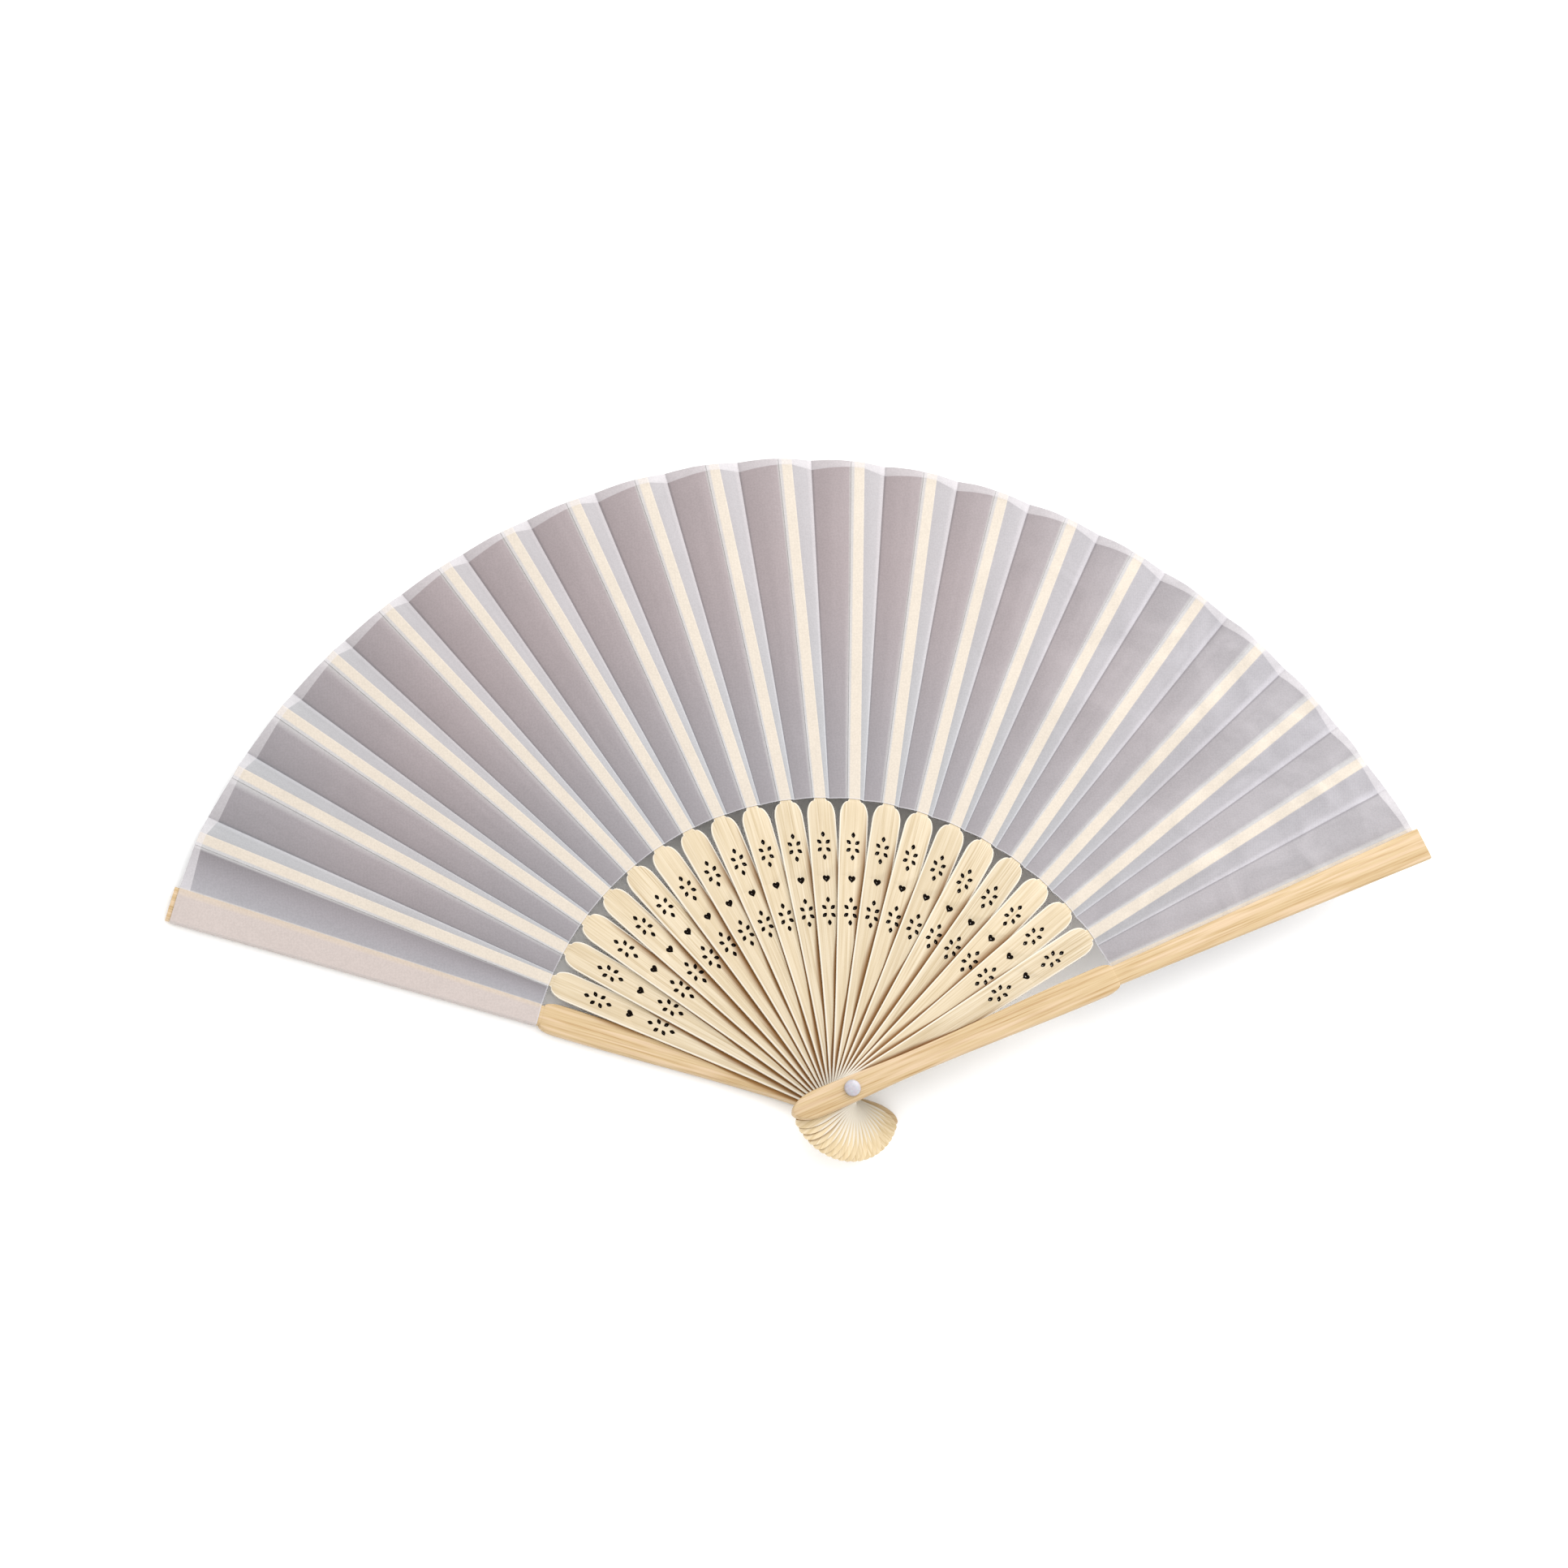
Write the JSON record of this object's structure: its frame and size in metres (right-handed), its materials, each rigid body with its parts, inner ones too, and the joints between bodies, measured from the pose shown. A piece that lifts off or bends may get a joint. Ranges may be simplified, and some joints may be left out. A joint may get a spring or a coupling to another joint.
{
  "type": "folding fan",
  "caption": "Folding hand fan lying open: thin pierced bamboo ribs and two thick guards turn on one rivet and carry a pleated silk leaf that folds up as the fan closes.",
  "frame": {"origin": "centre of the flat back face of the rivet's back cap, on the rivet's axis", "axes": "+Z along the rivet towards the front, +Y up the middle of the open fan, +X towards the front guard's side"},
  "size_m": [0.3646, 0.209, 0.0229],
  "materials": {
    "guard_bamboo": "varnished bamboo, satin",
    "rib_bamboo": "sanded pale bamboo, laser-cut holes with charred walls",
    "leaf_silk": "thin translucent silk, doubled at the outer hem",
    "rivet_plastic": "white moulded plastic",
    "rivet_steel": "drawn wire"
  },
  "bodies": {
    "root": {"back_guard": "guard_bamboo", "rivet_pin": "rivet_steel", "rivet_back_cap": "rivet_plastic", "rivet_front_cap": "rivet_plastic", "leaf_pleat_00": "leaf_silk"},
    "rib_01": {"rib_01": "rib_bamboo", "leaf_pleat_01": "leaf_silk"},
    "rib_02": {"rib_02": "rib_bamboo", "leaf_pleat_02": "leaf_silk"},
    "rib_03": {"rib_03": "rib_bamboo", "leaf_pleat_03": "leaf_silk"},
    "rib_04": {"rib_04": "rib_bamboo", "leaf_pleat_04": "leaf_silk"},
    "rib_05": {"rib_05": "rib_bamboo", "leaf_pleat_05": "leaf_silk"},
    "rib_06": {"rib_06": "rib_bamboo", "leaf_pleat_06": "leaf_silk"},
    "rib_07": {"rib_07": "rib_bamboo", "leaf_pleat_07": "leaf_silk"},
    "rib_08": {"rib_08": "rib_bamboo", "leaf_pleat_08": "leaf_silk"},
    "rib_09": {"rib_09": "rib_bamboo", "leaf_pleat_09": "leaf_silk"},
    "rib_10": {"rib_10": "rib_bamboo", "leaf_pleat_10": "leaf_silk"},
    "rib_11": {"rib_11": "rib_bamboo", "leaf_pleat_11": "leaf_silk"},
    "rib_12": {"rib_12": "rib_bamboo", "leaf_pleat_12": "leaf_silk"},
    "rib_13": {"rib_13": "rib_bamboo", "leaf_pleat_13": "leaf_silk"},
    "rib_14": {"rib_14": "rib_bamboo", "leaf_pleat_14": "leaf_silk"},
    "rib_15": {"rib_15": "rib_bamboo", "leaf_pleat_15": "leaf_silk"},
    "rib_16": {"rib_16": "rib_bamboo", "leaf_pleat_16": "leaf_silk"},
    "rib_17": {"rib_17": "rib_bamboo", "leaf_pleat_17": "leaf_silk"},
    "rib_18": {"rib_18": "rib_bamboo", "leaf_pleat_18": "leaf_silk"},
    "rib_19": {"rib_19": "rib_bamboo", "leaf_pleat_19": "leaf_silk"},
    "rib_20": {"rib_20": "rib_bamboo", "leaf_pleat_20": "leaf_silk"},
    "front_guard": {"front_guard": "guard_bamboo", "leaf_end_tab": "leaf_silk"}
  },
  "joints": [
    {"name": "rib_01_fold", "type": "hinge", "parent": "root", "child": "rib_01", "pos_m": [0, 0, 0.01], "axis": [0, 0, 1], "range_deg": [0, 6.74], "deforming": ["leaf_pleat_00"]},
    {"name": "rib_02_fold", "type": "hinge", "parent": "rib_01", "child": "rib_02", "pos_m": [0, 0, 0.01], "axis": [0, 0, 1], "range_deg": [0, 6.56], "deforming": ["leaf_pleat_01"]},
    {"name": "rib_03_fold", "type": "hinge", "parent": "rib_02", "child": "rib_03", "pos_m": [0, 0, 0.01], "axis": [0, 0, 1], "range_deg": [0, 6.56], "deforming": ["leaf_pleat_02"]},
    {"name": "rib_04_fold", "type": "hinge", "parent": "rib_03", "child": "rib_04", "pos_m": [0, 0, 0.01], "axis": [0, 0, 1], "range_deg": [0, 6.56], "deforming": ["leaf_pleat_03"]},
    {"name": "rib_05_fold", "type": "hinge", "parent": "rib_04", "child": "rib_05", "pos_m": [0, 0, 0.01], "axis": [0, 0, 1], "range_deg": [0, 6.56], "deforming": ["leaf_pleat_04"]},
    {"name": "rib_06_fold", "type": "hinge", "parent": "rib_05", "child": "rib_06", "pos_m": [0, 0, 0.01], "axis": [0, 0, 1], "range_deg": [0, 6.56], "deforming": ["leaf_pleat_05"]},
    {"name": "rib_07_fold", "type": "hinge", "parent": "rib_06", "child": "rib_07", "pos_m": [0, 0, 0.01], "axis": [0, 0, 1], "range_deg": [0, 6.56], "deforming": ["leaf_pleat_06"]},
    {"name": "rib_08_fold", "type": "hinge", "parent": "rib_07", "child": "rib_08", "pos_m": [0, 0, 0.01], "axis": [0, 0, 1], "range_deg": [0, 6.56], "deforming": ["leaf_pleat_07"]},
    {"name": "rib_09_fold", "type": "hinge", "parent": "rib_08", "child": "rib_09", "pos_m": [0, 0, 0.01], "axis": [0, 0, 1], "range_deg": [0, 6.56], "deforming": ["leaf_pleat_08"]},
    {"name": "rib_10_fold", "type": "hinge", "parent": "rib_09", "child": "rib_10", "pos_m": [0, 0, 0.01], "axis": [0, 0, 1], "range_deg": [0, 6.56], "deforming": ["leaf_pleat_09"]},
    {"name": "rib_11_fold", "type": "hinge", "parent": "rib_10", "child": "rib_11", "pos_m": [0, 0, 0.01], "axis": [0, 0, 1], "range_deg": [0, 6.56], "deforming": ["leaf_pleat_10"]},
    {"name": "rib_12_fold", "type": "hinge", "parent": "rib_11", "child": "rib_12", "pos_m": [0, 0, 0.01], "axis": [0, 0, 1], "range_deg": [0, 6.56], "deforming": ["leaf_pleat_11"]},
    {"name": "rib_13_fold", "type": "hinge", "parent": "rib_12", "child": "rib_13", "pos_m": [0, 0, 0.01], "axis": [0, 0, 1], "range_deg": [0, 6.56], "deforming": ["leaf_pleat_12"]},
    {"name": "rib_14_fold", "type": "hinge", "parent": "rib_13", "child": "rib_14", "pos_m": [0, 0, 0.01], "axis": [0, 0, 1], "range_deg": [0, 6.56], "deforming": ["leaf_pleat_13"]},
    {"name": "rib_15_fold", "type": "hinge", "parent": "rib_14", "child": "rib_15", "pos_m": [0, 0, 0.01], "axis": [0, 0, 1], "range_deg": [0, 6.56], "deforming": ["leaf_pleat_14"]},
    {"name": "rib_16_fold", "type": "hinge", "parent": "rib_15", "child": "rib_16", "pos_m": [0, 0, 0.01], "axis": [0, 0, 1], "range_deg": [0, 6.56], "deforming": ["leaf_pleat_15"]},
    {"name": "rib_17_fold", "type": "hinge", "parent": "rib_16", "child": "rib_17", "pos_m": [0, 0, 0.01], "axis": [0, 0, 1], "range_deg": [0, 6.56], "deforming": ["leaf_pleat_16"]},
    {"name": "rib_18_fold", "type": "hinge", "parent": "rib_17", "child": "rib_18", "pos_m": [0, 0, 0.01], "axis": [0, 0, 1], "range_deg": [0, 6.56], "deforming": ["leaf_pleat_17"]},
    {"name": "rib_19_fold", "type": "hinge", "parent": "rib_18", "child": "rib_19", "pos_m": [0, 0, 0.01], "axis": [0, 0, 1], "range_deg": [0, 6.56], "deforming": ["leaf_pleat_18"]},
    {"name": "rib_20_fold", "type": "hinge", "parent": "rib_19", "child": "rib_20", "pos_m": [0, 0, 0.01], "axis": [0, 0, 1], "range_deg": [0, 6.56], "deforming": ["leaf_pleat_19"]},
    {"name": "front_guard_fold", "type": "hinge", "parent": "rib_20", "child": "front_guard", "pos_m": [0, 0, 0.01], "axis": [0, 0, 1], "range_deg": [0, 9.2], "deforming": ["leaf_pleat_20"]}
  ],
  "couplings": [
    {"joint": "rib_02_fold", "follows": "rib_01_fold", "ratio": 0.9732},
    {"joint": "rib_03_fold", "follows": "rib_01_fold", "ratio": 0.9732},
    {"joint": "rib_04_fold", "follows": "rib_01_fold", "ratio": 0.9732},
    {"joint": "rib_05_fold", "follows": "rib_01_fold", "ratio": 0.9732},
    {"joint": "rib_06_fold", "follows": "rib_01_fold", "ratio": 0.9732},
    {"joint": "rib_07_fold", "follows": "rib_01_fold", "ratio": 0.9732},
    {"joint": "rib_08_fold", "follows": "rib_01_fold", "ratio": 0.9732},
    {"joint": "rib_09_fold", "follows": "rib_01_fold", "ratio": 0.9732},
    {"joint": "rib_10_fold", "follows": "rib_01_fold", "ratio": 0.9732},
    {"joint": "rib_11_fold", "follows": "rib_01_fold", "ratio": 0.9732},
    {"joint": "rib_12_fold", "follows": "rib_01_fold", "ratio": 0.9732},
    {"joint": "rib_13_fold", "follows": "rib_01_fold", "ratio": 0.9732},
    {"joint": "rib_14_fold", "follows": "rib_01_fold", "ratio": 0.9732},
    {"joint": "rib_15_fold", "follows": "rib_01_fold", "ratio": 0.9732},
    {"joint": "rib_16_fold", "follows": "rib_01_fold", "ratio": 0.9732},
    {"joint": "rib_17_fold", "follows": "rib_01_fold", "ratio": 0.9732},
    {"joint": "rib_18_fold", "follows": "rib_01_fold", "ratio": 0.9732},
    {"joint": "rib_19_fold", "follows": "rib_01_fold", "ratio": 0.9732},
    {"joint": "rib_20_fold", "follows": "rib_01_fold", "ratio": 0.9732},
    {"joint": "front_guard_fold", "follows": "rib_01_fold", "ratio": 1.3649}
  ]
}
